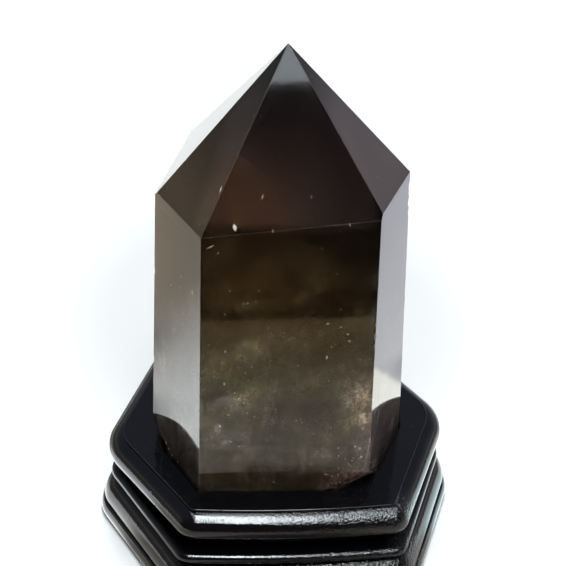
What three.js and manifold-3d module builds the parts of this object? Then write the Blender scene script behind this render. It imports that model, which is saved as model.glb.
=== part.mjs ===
// A polished smoky quartz point standing in the pocket of a moulded, lacquered six-sided wooden stand.
// Millimetres, +Z up. The origin is the middle of the stand's underside, X runs along its long front side
// and the back is towards +Y.
import * as THREE from 'three';
import Module from 'manifold-3d';
import { mergeVertices } from 'three/addons/utils/BufferGeometryUtils.js';

const wasm = await Module();
wasm.setup();

// ---- driving dimensions -----------------------------------------------------------------------------

// Stand: the corners of its outline, counter-clockwise from the left front, each with the radius that the
// corner is rounded to, and how far the side after it bows out at its middle. The slab on top was shaped by
// hand a little apart from the base below it.
const STAND_HEIGHT = 24.5;
const SLAB_CORNERS = [
  { x: -22.4, y: -34.1, radius: 5.5, bow: 0.9 },
  { x: 27.0, y: -34.1, radius: 4.0, bow: 0 },
  { x: 41.2, y: 2.2, radius: 13.0, bow: 0 },
  { x: 20.3, y: 36.1, radius: 8.0, bow: 0 },
  { x: -26.2, y: 36.1, radius: 8.0, bow: 0 },
  { x: -41.1, y: -4.5, radius: 13.0, bow: 0 },
];
const BASE_CORNERS = [
  { x: -23.6, y: -34.7, radius: 4.2, bow: 0.9 },
  { x: 27.5, y: -34.7, radius: 4.2, bow: 0 },
  { x: 41.1, y: 2.0, radius: 11.0, bow: 0 },
  { x: 20.3, y: 36.1, radius: 8.0, bow: 0 },
  { x: -26.5, y: 36.1, radius: 8.0, bow: 0 },
  { x: -40.4, y: -3.6, radius: 7.0, bow: 0 },
];
const SMALLEST_RADIUS = 1.5;
const ARC_STEPS = 6;
const BOW_STEPS = 6;

// The mouldings from the top down. Each is a rounded band: grow is how far its nose stands out past the
// outline, nose is how far its rounding reaches in, and shoulder is the height of that rounding.
const MOULDINGS = [
  { outline: SLAB_CORNERS, top: 24.5, bottom: 23.5, grow: -3.5, nose: 0.25, shoulder: 0.25, steps: 2 },
  { outline: SLAB_CORNERS, top: 23.75, bottom: 16.9, grow: 0, nose: 3.75, shoulder: 3.4, steps: 6 },
  { outline: BASE_CORNERS, top: 17.2, bottom: 13.2, grow: -5.0, nose: 0, shoulder: 0, steps: 0 },
  { outline: BASE_CORNERS, top: 13.6, bottom: 11.2, grow: -0.35, nose: 1.2, shoulder: 1.15, steps: 4 },
  { outline: BASE_CORNERS, top: 11.4, bottom: 10.0, grow: -1.9, nose: 0, shoulder: 0, steps: 0 },
  { outline: BASE_CORNERS, top: 10.6, bottom: 0.3, grow: 1.6, nose: 4.6, shoulder: 5.1, steps: 7 },
  { outline: BASE_CORNERS, top: 4.5, bottom: 0, grow: 2.55, nose: 1.5, shoulder: 2.2, steps: 5 },
];

// Crystal: the faces are ground on it one after another. Directions are azimuths in degrees from +X, and
// distances are measured from the upright line through the tip, at the height of the stand's top.
const TIP = new THREE.Vector3(0.4, 1.0, STAND_HEIGHT + 97.8);
const PRISM_FACES = [
  { azimuth: -91.0, distance: 25.9, lean: 2.1 }, // front
  { azimuth: -24.0, distance: 27.8, lean: 1.5 }, // right front
  { azimuth: 29.0, distance: 23.3, lean: 2.5 }, // right back
  { azimuth: 89.0, distance: 17.7, lean: 1.5 }, // back
  { azimuth: 160.5, distance: 26.0, lean: 1.7 }, // left back
  { azimuth: 208.0, distance: 29.0, lean: 1.7 }, // left front
];
// The six facets that meet in the tip, each at its slope above the horizontal.
const TIP_FACETS = [
  { azimuth: -95.7, slope: 51.8 }, // front
  { azimuth: -22.0, slope: 46.2 }, // right front
  { azimuth: 29.0, slope: 53.5 }, // right back
  { azimuth: 74.3, slope: 70.5 }, // back
  { azimuth: 165.4, slope: 51.5 }, // left back
  { azimuth: 209.6, slope: 49.1 }, // left front
];
// Two lower corners are broken off: each break is a plane through a point, facing out and down.
const BROKEN_CORNERS = [
  { x: 19.5, y: -25.0, above: 5.6, azimuth: -58.9, drop: 32.1 },
  { x: -29.1, y: -5.2, above: 6.0, azimuth: 186.0, drop: 20.0 },
];

// Pocket: it follows the crystal's outline at the stand's top, with room to lift it out.
const POCKET_DEPTH = 7.0;
const POCKET_CLEARANCE = 0.45;
const REST_GAP = 0.3;

// How far cutting shapes run past what they cut, and how near two corners count as one.
const SPARE = 5;
const SAME_CORNER = 1e-4;

// ---- solids ------------------------------------------------------------------------------------------

function toSolid(geometry) {
  const bare = geometry.clone();
  bare.deleteAttribute('normal');
  bare.deleteAttribute('uv');
  const merged = mergeVertices(bare, SAME_CORNER);
  return new wasm.Manifold(new wasm.Mesh({
    numProp: 3,
    vertProperties: new Float32Array(merged.attributes.position.array),
    triVerts: new Uint32Array(merged.index.array),
  }));
}

function toGeometry(solid) {
  const mesh = solid.getMesh();
  const geometry = new THREE.BufferGeometry();
  geometry.setAttribute('position', new THREE.BufferAttribute(new Float32Array(mesh.vertProperties), 3));
  geometry.setIndex(new THREE.BufferAttribute(new Uint32Array(mesh.triVerts), 1));
  const flat = geometry.toNonIndexed();
  flat.computeVertexNormals();
  return flat;
}

// The unit vector at an azimuth and an elevation above the horizontal, in degrees.
function direction(azimuth, elevation) {
  const turn = THREE.MathUtils.degToRad(azimuth);
  const rise = THREE.MathUtils.degToRad(elevation);
  return new THREE.Vector3(Math.cos(rise) * Math.cos(turn), Math.cos(rise) * Math.sin(turn), Math.sin(rise));
}

// Everything on the outer side of a plane, as a block large enough to grind the crystal with.
function grindingBlock(point, normal) {
  const size = 400;
  const block = new THREE.BoxGeometry(size, size, size);
  block.translate(0, 0, size / 2);
  block.applyQuaternion(new THREE.Quaternion().setFromUnitVectors(new THREE.Vector3(0, 0, 1), normal));
  block.translate(point.x, point.y, point.z);
  return toSolid(block);
}

// ---- stand -------------------------------------------------------------------------------------------

// Where two sides of an outline, each moved out by grow, meet near a corner.
function grownCorner(corners, index, grow) {
  const count = corners.length;
  const here = corners[index];
  const before = corners[(index + count - 1) % count];
  const after = corners[(index + 1) % count];
  const inward = new THREE.Vector2(here.x - before.x, here.y - before.y).normalize();
  const onward = new THREE.Vector2(after.x - here.x, after.y - here.y).normalize();
  const halfTurn = inward.angleTo(onward) / 2;
  const bisector = new THREE.Vector2(inward.y + onward.y, -inward.x - onward.x).normalize();
  const point = new THREE.Vector2(here.x, here.y).addScaledVector(bisector, grow / Math.cos(halfTurn));
  return { point, radius: Math.max(here.radius + grow, SMALLEST_RADIUS), inward, halfTurn, bisector };
}

// The corner at an index of an outline moved out by grow, as points along its arc.
function cornerArc(corners, index, grow) {
  const { point, radius, inward, halfTurn, bisector } = grownCorner(corners, index, grow);
  const centre = point.clone().addScaledVector(bisector, -radius / Math.cos(halfTurn));
  const start = Math.atan2(-inward.x, inward.y);
  return Array.from({ length: ARC_STEPS + 1 }, (_unused, step) => {
    const angle = start + (2 * halfTurn * step) / ARC_STEPS;
    return new THREE.Vector2(centre.x + radius * Math.cos(angle), centre.y + radius * Math.sin(angle));
  });
}

// The points between two ends of a side that bows out by bow at its middle, as a parabola.
function bowedSide(from, to, bow) {
  if (bow === 0) return [];
  const out = new THREE.Vector2(to.y - from.y, from.x - to.x).normalize();
  return Array.from({ length: BOW_STEPS - 1 }, (_unused, step) => {
    const share = (step + 1) / BOW_STEPS;
    return from.clone().lerp(to, share).addScaledVector(out, 4 * bow * share * (1 - share));
  });
}

// The outline moved out by grow, with its rounded corners as true arcs.
function standOutline(corners, grow) {
  const arcs = corners.map((_corner, index) => cornerArc(corners, index, grow));
  const points = arcs.flatMap((arc, index) => {
    const next = arcs[(index + 1) % arcs.length];
    return [...arc, ...bowedSide(arc.at(-1), next[0], corners[index].bow)];
  });
  return new THREE.Shape(points);
}

function mouldingSolid({ outline, top, bottom, grow, nose, shoulder, steps }) {
  const geometry = new THREE.ExtrudeGeometry(standOutline(outline, grow), {
    depth: top - bottom - 2 * shoulder,
    steps: 1,
    bevelEnabled: steps > 0,
    bevelThickness: shoulder,
    bevelSize: nose,
    bevelOffset: -nose,
    bevelSegments: steps,
  });
  geometry.translate(0, 0, bottom + shoulder);
  return toSolid(geometry);
}

// ---- crystal -----------------------------------------------------------------------------------------

// The upright block bounded by the prism faces, each moved out by clearance, between two heights.
function prismSolid(clearance, bottom, top) {
  const width = 120;
  const block = new THREE.BoxGeometry(width, width, top - bottom);
  block.translate(TIP.x, TIP.y, (top + bottom) / 2);
  return PRISM_FACES.reduce((solid, { azimuth, distance, lean }) => {
    const foot = new THREE.Vector3(TIP.x, TIP.y, STAND_HEIGHT)
      .addScaledVector(direction(azimuth, 0), distance + clearance);
    return solid.subtract(grindingBlock(foot, direction(azimuth, lean)));
  }, toSolid(block));
}

function crystalSolid() {
  const bottom = STAND_HEIGHT - POCKET_DEPTH + REST_GAP;
  let solid = prismSolid(0, bottom, TIP.z + SPARE);
  for (const { azimuth, slope } of TIP_FACETS) {
    solid = solid.subtract(grindingBlock(TIP, direction(azimuth, 90 - slope)));
  }
  for (const { x, y, above, azimuth, drop } of BROKEN_CORNERS) {
    const point = new THREE.Vector3(x, y, STAND_HEIGHT + above);
    solid = solid.subtract(grindingBlock(point, direction(azimuth, -drop)));
  }
  return solid;
}

// The pocket keeps clear of the crystal where a corner is broken off, with an upright wall under each break.
function pocketSolid() {
  const prism = prismSolid(POCKET_CLEARANCE, STAND_HEIGHT - POCKET_DEPTH, STAND_HEIGHT + SPARE);
  return BROKEN_CORNERS.reduce((solid, { x, y, above, azimuth, drop }) => {
    const undercut = above * Math.tan(THREE.MathUtils.degToRad(drop));
    const wall = new THREE.Vector3(x, y, STAND_HEIGHT)
      .addScaledVector(direction(azimuth, 0), POCKET_CLEARANCE - undercut);
    return solid.subtract(grindingBlock(wall, direction(azimuth, 0)));
  }, prism);
}

function standSolid() {
  const body = MOULDINGS.map(mouldingSolid).reduce((joined, band) => joined.add(band));
  return body.subtract(pocketSolid());
}

// ---- the group ---------------------------------------------------------------------------------------

function part(name, solid, material) {
  const mesh = new THREE.Mesh(toGeometry(solid), material);
  mesh.name = name;
  return mesh;
}

const smokyQuartz = new THREE.MeshStandardMaterial({ color: 0x4a3a2c, roughness: 0.05, metalness: 0 });
const blackLacquer = new THREE.MeshStandardMaterial({ color: 0x0b0c0f, roughness: 0.18, metalness: 0 });

const pointOnStand = new THREE.Group();
pointOnStand.add(part('quartz_point', crystalSolid(), smokyQuartz));
pointOnStand.add(part('lacquered_stand', standSolid(), blackLacquer));

export default pointOnStand;
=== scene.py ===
"""A polished smoky quartz point standing in the pocket of its black lacquered stand.

Metres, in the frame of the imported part: +Z up, X along the stand's long front side, the back towards +Y.
Lengths are written in millimetres and multiplied by MM.
"""

import bmesh
import bpy
import numpy as np
from mathutils import Matrix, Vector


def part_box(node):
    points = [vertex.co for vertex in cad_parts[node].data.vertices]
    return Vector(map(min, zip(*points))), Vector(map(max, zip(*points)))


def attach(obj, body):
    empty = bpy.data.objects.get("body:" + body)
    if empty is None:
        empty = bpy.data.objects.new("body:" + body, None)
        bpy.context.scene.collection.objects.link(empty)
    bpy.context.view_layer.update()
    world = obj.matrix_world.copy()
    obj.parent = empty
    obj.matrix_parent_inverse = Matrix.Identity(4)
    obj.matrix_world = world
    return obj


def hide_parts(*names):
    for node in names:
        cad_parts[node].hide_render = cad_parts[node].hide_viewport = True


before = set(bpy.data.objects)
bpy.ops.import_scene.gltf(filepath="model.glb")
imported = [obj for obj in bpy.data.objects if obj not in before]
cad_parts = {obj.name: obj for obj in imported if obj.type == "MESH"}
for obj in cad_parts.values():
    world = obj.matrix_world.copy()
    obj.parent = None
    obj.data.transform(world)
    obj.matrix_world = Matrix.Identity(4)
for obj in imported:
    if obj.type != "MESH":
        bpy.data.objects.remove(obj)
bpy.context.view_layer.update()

MM = 0.001

# ---- shader arithmetic -------------------------------------------------------------------------------


class Wire:
    """One value in a node tree. Arithmetic on it adds Math nodes."""

    def __init__(self, tree, socket):
        self.tree = tree
        self.socket = socket

    def _math(self, operation, *terms):
        return self.tree.make("ShaderNodeMath", {"operation": operation}, dict(enumerate(terms))).out(0)

    def __add__(self, other):
        return self._math("ADD", self, other)

    def __radd__(self, other):
        return self._math("ADD", other, self)

    def __sub__(self, other):
        return self._math("SUBTRACT", self, other)

    def __rsub__(self, other):
        return self._math("SUBTRACT", other, self)

    def __mul__(self, other):
        return self._math("MULTIPLY", self, other)

    def __rmul__(self, other):
        return self._math("MULTIPLY", other, self)

    def __pow__(self, other):
        return self._math("POWER", self, other)

    def larger(self, other):
        return self._math("MAXIMUM", self, other)

    def above(self, edge, soft):
        """0 below edge and 1 above it, with a smooth step soft wide around it."""
        made = self.tree.make(
            "ShaderNodeMapRange",
            {"interpolation_type": "SMOOTHSTEP"},
            {"Value": self, "From Min": edge - soft / 2, "From Max": edge + soft / 2},
        )
        return made.out("Result")

    def below(self, edge, soft):
        return 1 - self.above(edge, soft)


class Made:
    """A node that has been added, with its outputs as wires."""

    def __init__(self, tree, node):
        self.tree = tree
        self.node = node

    def out(self, name):
        return Wire(self.tree, self.node.outputs[name])


class Tree:
    """A node tree that nodes are added to by type, settings and sockets."""

    def __init__(self, tree):
        self.tree = tree
        self.tree.nodes.clear()

    def make(self, kind, settings=None, sockets=None):
        node = self.tree.nodes.new(kind)
        for name, value in (settings or {}).items():
            if name == "stops":
                self._stops(node, value)
            else:
                setattr(node, name, value)
        for name, value in (sockets or {}).items():
            self._feed(node.inputs[name], value)
        return Made(self, node)

    def _stops(self, node, stops):
        ramp = node.color_ramp
        while len(ramp.elements) < len(stops):
            ramp.elements.new(1.0)
        for element, (position, colour) in zip(ramp.elements, stops):
            element.position = position
            element.color = (*colour, 1.0)

    def _feed(self, socket, value):
        if isinstance(value, Wire):
            self.tree.links.new(value.socket, socket)
        elif isinstance(value, (tuple, list)) and len(value) == 3 and len(socket.default_value) == 4:
            socket.default_value = (*value, 1.0)
        else:
            socket.default_value = value

    def place(self):
        """Where a point lies on the object, in metres."""
        return self.make("ShaderNodeTexCoord").out("Object")

    def axes(self):
        """The same place as three numbers."""
        parts = self.make("ShaderNodeSeparateXYZ", None, {"Vector": self.place()})
        return parts.out("X"), parts.out("Y"), parts.out("Z")

    def stretched(self, scale, turn):
        """The same place turned and with each axis scaled, for grain and streaks."""
        sockets = {"Vector": self.place(), "Rotation": turn, "Scale": scale}
        return self.make("ShaderNodeMapping", None, sockets).out("Vector")

    def noise(self, size, detail=2.0, rough=0.5, where=None):
        """Cloudy noise from 0 to 1 whose blotches are about size metres across."""
        sockets = {"Vector": where or self.place(), "Scale": 1 / size, "Detail": detail, "Roughness": rough}
        return self.make("ShaderNodeTexNoise", None, sockets).out("Fac")

    def cells(self, size):
        """Distance to the nearest of many scattered points about size metres apart, in those units."""
        sockets = {"Vector": self.place(), "Scale": 1 / size}
        return self.make("ShaderNodeTexVoronoi", None, sockets).out("Distance")

    def kept(self, name, output="Fac"):
        """A number, or with "Color" a colour, that the mesh keeps at each of its points."""
        return self.make("ShaderNodeAttribute", {"attribute_name": name}).out(output)

    def mix(self, part, first, second, blend="MIX"):
        """first where part is 0 and second, or the blend of both, where it is 1, as colours."""
        sockets = {"Factor": part, 6: first, 7: second}
        return self.make("ShaderNodeMix", {"data_type": "RGBA", "blend_type": blend}, sockets).out(2)

    def bump(self, height, depth, strength):
        """The normal of a surface raised by height times depth metres, in part as strong as strength."""
        sockets = {"Height": height, "Distance": depth, "Strength": strength}
        return self.make("ShaderNodeBump", None, sockets).out("Normal")


def finish_named(name):
    """A new material and its empty tree."""
    material = bpy.data.materials.new(name)
    material.use_nodes = True
    return material, Tree(material.node_tree)


def surfaced(tree, sockets, volume=None):
    """Ends a material in one Principled shader with these sockets, and a volume where the piece has one."""
    shader = tree.make("ShaderNodeBsdfPrincipled", None, sockets).out("BSDF")
    ends = {"Surface": shader}
    if volume is not None:
        ends["Volume"] = volume
    tree.make("ShaderNodeOutputMaterial", None, ends)


# ---- finishes ----------------------------------------------------------------------------------------

QUARTZ_IOR = 1.544
# What the smoky body soaks up: density times one minus this colour, per metre of path.
SMOKE_DENSITY = 172.0
SMOKE_COLOUR = (0.353, 0.253, 0.087)


def smoke(tree):
    """What the smoky stone does to light on its way through."""
    sockets = {"Color": SMOKE_COLOUR, "Density": SMOKE_DENSITY}
    return tree.make("ShaderNodeVolumeAbsorption", None, sockets).out("Volume")


def polished_quartz():
    """Clear smoky quartz, with the faint swell that hand polishing leaves in a face."""
    material, tree = finish_named("polished_smoky_quartz")
    surfaced(
        tree,
        {
            "Base Color": (1.0, 1.0, 1.0),
            "Roughness": 0.025 + 0.025 * tree.noise(4 * MM, detail=3.0),
            "IOR": QUARTZ_IOR,
            "Transmission Weight": 1.0,
            "Normal": tree.bump(tree.noise(12 * MM, detail=1.0), 0.01 * MM, 0.4),
        },
        smoke(tree),
    )
    return material


def ground_arris():
    """The narrow ground edge between two faces, and the small shell-shaped chips along it."""
    material, tree = finish_named("ground_arris")
    grain = tree.noise(0.5 * MM, detail=3.0, rough=0.7)
    surfaced(
        tree,
        {
            "Base Color": tree.mix(grain, (0.95, 0.90, 0.80), (0.72, 0.62, 0.48)),
            "Roughness": 0.14 + 0.3 * grain,
            "IOR": QUARTZ_IOR,
            "Transmission Weight": 0.92,
            "Normal": tree.bump(grain, 0.05 * MM, 0.6),
        },
        smoke(tree),
    )
    return material


def broken_quartz():
    """A broken corner, stained with rust, whose grains still flash. Pale grains laid into its colour are
    painted glints.
    """
    material, tree = finish_named("rust_stained_break")
    stain = tree.noise(2.6 * MM, detail=4.0, rough=0.65)
    grain = tree.noise(0.7 * MM, detail=4.0, rough=0.7)
    crystals = tree.cells(0.55 * MM)
    rust = tree.mix(stain.above(0.48, 0.3), (0.13, 0.042, 0.024), (0.05, 0.028, 0.02))
    surfaced(
        tree,
        {
            # Pale grains over the rust: painted glints.
            "Base Color": tree.mix(grain.above(0.62, 0.08), rust, (0.75, 0.64, 0.52)),
            "Roughness": 0.16 + 0.5 * stain,
            "IOR": QUARTZ_IOR,
            "Specular IOR Level": 0.7,
            "Normal": tree.bump(grain + crystals * 0.6, 0.4 * MM, 0.8),
        },
        smoke(tree),
    )
    return material


def milky_veil(name, mottling):
    """Thin clouds of bubbles and healed cracks, in the tint that the mesh keeps, warmer or pinker in
    blotches. Their cover is the number that the mesh keeps, and the share of it that mottling gives is
    broken up by billows, fine grain and upright strokes."""
    material, tree = finish_named(name)
    upright = tree.stretched((1.0, 1.0, 0.3), (0.0, 0.15, 0.0))
    billow = tree.noise(4.4 * MM, detail=5.0, rough=0.6)
    fine = tree.noise(0.6 * MM, detail=3.0, rough=0.65)
    strokes = tree.noise(1.3 * MM, detail=3.0, rough=0.6, where=upright)
    clumps = (0.25 + 1.5 * billow.above(0.5, 0.5)) * (0.4 + 1.2 * fine.above(0.5, 0.5))
    pattern = clumps * (0.4 + 1.2 * strokes.above(0.5, 0.5))
    warm_blotch = tree.noise(3.2 * MM, where=tree.stretched((1.0, 1.0, 0.8), (0.4, 0.2, 1.0)))
    pink_blotch = tree.noise(2.6 * MM, detail=3.0)
    tint = tree.kept("tint", "Color")
    warmer = tree.mix(warm_blotch.above(0.5, 0.3), tint, (1.0, 0.95, 0.8), "MULTIPLY")
    pinker = tree.mix(pink_blotch.above(0.54, 0.2), warmer, (1.0, 0.86, 0.94), "MULTIPLY")
    surfaced(
        tree,
        {
            "Base Color": tree.mix(0.35 * mottling * fine, pinker, (0.85, 0.85, 0.84)),
            "Roughness": 1.0,
            "Specular IOR Level": 0.0,
            "Alpha": tree.kept("cover") * (1 - mottling + mottling * pattern),
        },
    )
    return material


def fracture_veil():
    """A healed crack inside the stone, a curved film of tiny bubbles that is densest at its rim."""
    material, tree = finish_named("healed_crack")
    dots = tree.cells(0.7 * MM).below(0.42, 0.5)
    fine = tree.noise(1.6 * MM, detail=4.0, rough=0.7)
    surfaced(
        tree,
        {
            "Base Color": tree.mix(fine, (0.52, 0.5, 0.44), (0.84, 0.84, 0.82)),
            "Roughness": 0.6,
            "Specular IOR Level": 0.3,
            "Alpha": tree.kept("cover") * (0.7 + 0.3 * dots) * (0.3 + 1.0 * fine),
        },
    )
    return material


def bright_specks():
    """Grains and flakes sealed in the stone, white to straw yellow. Some flakes are painted glints."""
    material, tree = finish_named("bright_specks")
    surfaced(
        tree,
        {
            "Base Color": tree.mix(tree.kept("tone"), (0.93, 0.92, 0.88), (0.9, 0.68, 0.25)),
            "Roughness": 0.5,
            "Specular IOR Level": 0.5,
        },
    )
    return material


def black_lacquer():
    """Thick brushed lacquer: near black. Its gloss is broken up by fine grit, most at the front's right, by
    dust nibs and by a slow swell."""
    material, tree = finish_named("black_lacquer")
    x, y, z = tree.axes()
    grit = tree.noise(0.45 * MM, detail=1.0, rough=0.5)
    peel = tree.noise(1.3 * MM, detail=3.0, rough=0.6)
    swell = tree.noise(6 * MM, detail=1.0)
    nibs = tree.cells(2.3 * MM).below(0.10, 0.12)
    front_right = 3.0 * x.above(5 * MM, 50 * MM) * y.below(-26 * MM, 10 * MM)
    coarse = (0.25 + front_right) * z.below(24.3 * MM, 0.3 * MM)
    height = coarse * grit + 0.15 * peel + 0.5 * swell + 0.4 * nibs
    surfaced(
        tree,
        {
            "Base Color": tree.mix(peel.above(0.7, 0.2), (0.0015, 0.0015, 0.002), (0.004, 0.004, 0.005)),
            "Roughness": 0.05 + 0.1 * tree.noise(4 * MM, detail=3.0) ** 2.0,
            "IOR": 1.5,
            "Normal": tree.bump(height, 0.09 * MM, 0.8),
        },
    )
    return material


QUARTZ = polished_quartz()
BREAK = broken_quartz()
ARRIS = ground_arris()
LACQUER = black_lacquer()
VEIL = milky_veil("milky_veil", 1.0)
SOFT_VEIL = milky_veil("soft_veil", 0.5)
HAZE = milky_veil("smooth_haze", 0.2)
HEALED = fracture_veil()
SPECKS = bright_specks()

# ---- making pieces -----------------------------------------------------------------------------------


def show(name, mesh, materials):
    """A piece at the origin with this mesh and these materials."""
    piece = bpy.data.objects.new(name, mesh)
    bpy.context.scene.collection.objects.link(piece)
    for material in materials:
        mesh.materials.append(material)
    return piece


def mesh_of(name, points, faces):
    """A mesh of these points, whose faces are rows of an array or lists of any length."""
    mesh = bpy.data.meshes.new(name)
    faces = faces.tolist() if isinstance(faces, np.ndarray) else faces
    mesh.from_pydata(np.reshape(points, (-1, 3)).tolist(), [], faces)
    mesh.update()
    return mesh


def keep_number(mesh, name, values):
    """Keeps one number at each point of the mesh for its material to read."""
    kept = mesh.attributes.new(name, "FLOAT", "POINT")
    kept.data.foreach_set("value", np.asarray(values, np.float32).ravel())


def keep_colour(mesh, name, values):
    """Keeps one colour at each point of the mesh for its material to read."""
    values = np.reshape(values, (-1, 3))
    whole = np.concatenate([values, np.ones((len(values), 1))], axis=1).astype(np.float32)
    kept = mesh.attributes.new(name, "FLOAT_COLOR", "POINT")
    kept.data.foreach_set("color", whole.ravel())


def ring_faces(rows, columns):
    """Faces of a grid of rows whose columns close on themselves, facing out where rows go downwards and
    columns go counter-clockwise."""
    row, column = np.meshgrid(np.arange(rows - 1), np.arange(columns), indexing="ij")
    ahead = (column + 1) % columns
    upper = row * columns
    lower = upper + columns
    return np.stack([upper + column, lower + column, lower + ahead, upper + ahead], axis=-1).reshape(-1, 4)


def open_faces(rows, columns):
    """Faces of a grid of rows and columns with four free sides."""
    row, column = np.meshgrid(np.arange(rows - 1), np.arange(columns - 1), indexing="ij")
    first = row * columns + column
    return np.stack([first, first + 1, first + columns + 1, first + columns], axis=-1).reshape(-1, 4)


def smooth(value):
    """0 below 0, 1 above 1, and 3v^2 - 2v^3 between."""
    value = np.clip(value, 0.0, 1.0)
    return value * value * (3.0 - 2.0 * value)


WAVE_COUNT = 7


def waves(first, second, size, seed):
    """A soft random swell, mostly between -1 and 1: the sum of plane waves of random heading, whose lengths
    are around size, over the root of their count."""
    draw = np.random.default_rng(seed)
    way = draw.uniform(0, 2 * np.pi, WAVE_COUNT)
    length = size * draw.uniform(0.6, 1.7, WAVE_COUNT)
    phase = draw.uniform(0, 2 * np.pi, WAVE_COUNT)
    along = np.multiply.outer(first, np.cos(way)) + np.multiply.outer(second, np.sin(way))
    return np.sin(2 * np.pi * along / length + phase).sum(axis=-1) / np.sqrt(WAVE_COUNT)


def sharpened(mesh, degrees):
    """Splits the shading along edges that turn by more than this."""
    bm = bmesh.new()
    bm.from_mesh(mesh)
    limit = np.radians(degrees)
    for edge in bm.edges:
        edge.smooth = len(edge.link_faces) == 2 and edge.calc_face_angle(0.0) < limit
    bm.to_mesh(mesh)
    bm.free()


# ---- the stand ---------------------------------------------------------------------------------------

STAND_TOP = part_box("lacquered_stand")[1][2]

# Corners of the slab's and the base's outline, in millimetres, with the radius of each and how far the side
# after it bows out at its middle.
SLAB_CORNERS = np.array([
    (-22.4, -34.1, 5.5, 0.9), (27.0, -34.1, 4.0, 0.0), (41.2, 2.2, 13.0, 0.0),
    (20.3, 36.1, 8.0, 0.0), (-26.2, 36.1, 8.0, 0.0), (-41.1, -4.5, 13.0, 0.0),
])
BASE_CORNERS = np.array([
    (-23.6, -34.7, 4.2, 0.9), (27.5, -34.7, 4.2, 0.0), (41.1, 2.0, 11.0, 0.0),
    (20.3, 36.1, 8.0, 0.0), (-26.5, 36.1, 8.0, 0.0), (-40.4, -3.6, 7.0, 0.0),
])
SMALLEST_RADIUS = 1.5
ARC_POINTS = 14
SIDE_POINTS = 18

# The pocket's sides round the upright line through the crystal's tip: azimuth in degrees and distance in
# millimetres. The last two are the walls under the crystal's broken corners.
TIP_AXIS = np.array([0.4, 1.0])
POCKET_SIDES = np.array([
    (-91.0, 25.9), (-24.0, 27.8), (29.0, 23.3), (89.0, 17.7),
    (160.5, 26.0), (208.0, 29.0), (-58.9, 28.62), (186.0, 27.80),
])
POCKET_CLEARANCE = 0.45
POCKET_FLOOR = 17.5


def outline(corners, grow):
    """The outline moved out by each value of grow. Sides shift along their normals; each corner is an arc
    about the point where the shifted sides, moved in by its radius, meet. A side bows out by four times its
    bow, times share, times one minus share. Gives (len(grow), n, 2)."""
    grow = np.asarray(grow, float)[:, None]
    here = corners[:, :2]
    along = np.roll(here, -1, axis=0) - here
    along /= np.linalg.norm(along, axis=1, keepdims=True)
    before = np.roll(along, 1, axis=0)
    half_turn = np.arccos(np.clip((before * along).sum(1), -1, 1)) / 2
    bisector = np.stack([before[:, 1] + along[:, 1], -before[:, 0] - along[:, 0]], axis=1)
    bisector /= np.linalg.norm(bisector, axis=1, keepdims=True)
    radius = np.maximum(corners[:, 2] + grow, SMALLEST_RADIUS)
    reach = (grow - radius) / np.cos(half_turn)
    centre = here + bisector * reach[..., None]
    start = np.arctan2(-before[:, 0], before[:, 1])
    angle = start[:, None] + 2 * half_turn[:, None] * np.linspace(0, 1, ARC_POINTS)
    arc = centre[:, :, None] + radius[..., None, None] * np.stack([np.cos(angle), np.sin(angle)], axis=-1)
    leave, arrive = arc[:, :, -1:], np.roll(arc, -1, axis=1)[:, :, :1]
    share = np.linspace(0, 1, SIDE_POINTS + 2)[1:-1, None]
    outward = np.stack([along[:, 1], -along[:, 0]], axis=1)[:, None]
    side = leave + (arrive - leave) * share + outward * corners[:, 3, None, None] * 4 * share * (1 - share)
    return np.concatenate([arc, side], axis=2).reshape(len(grow), -1, 2)


def round_band(top, bottom, grow, nose, points, first=90.0, last=-90.0):
    """A bullnose from top to bottom: an upright half ellipse that stands out to grow, as (grow, height)."""
    angle = np.radians(np.linspace(first, last, points))
    middle, half = (top + bottom) / 2, (top - bottom) / 2
    return np.stack([grow - nose + nose * np.cos(angle), middle + half * np.sin(angle)], axis=1)


def stand_profile():
    """The mouldings as rows of (grow, height): those that follow the slab's outline, from the top rim down,
    then those that follow the base's, down to the underside."""
    slab = np.concatenate([
        round_band(24.5, 24.3, -3.5, 0.1, 6, 90.0, 0.0),
        round_band(23.75, 16.9, 0.0, 3.75, 27, 86.2, -90.0),
    ])
    base = np.concatenate([
        [(-5.0, 16.85), (-5.0, 13.65)],
        round_band(13.6, 11.2, -0.35, 1.2, 11),
        [(-1.9, 11.1), (-1.9, 10.5)],
        round_band(10.6, 0.3, 1.6, 4.6, 31, 75.5, -14.0),
        round_band(4.5, 0.0, 2.55, 1.5, 17, 62.0, -90.0),
    ])
    return slab, base


def pocket_outline(rim, clearance):
    """The pocket's outline on the rays from the tip axis through the points of rim. Each ray stops at the
    nearest of the pocket's sides, moved out by clearance: distance over the cosine to the side's normal."""
    ray = (rim - TIP_AXIS) / np.linalg.norm(rim - TIP_AXIS, axis=1, keepdims=True)
    azimuth = np.radians(POCKET_SIDES[:, 0])
    facing = ray @ np.stack([np.cos(azimuth), np.sin(azimuth)])
    reach = np.where(facing > 0.05, (POCKET_SIDES[:, 1] + clearance) / np.maximum(facing, 0.05), np.inf)
    return TIP_AXIS + ray * reach.min(axis=1, keepdims=True)


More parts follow.
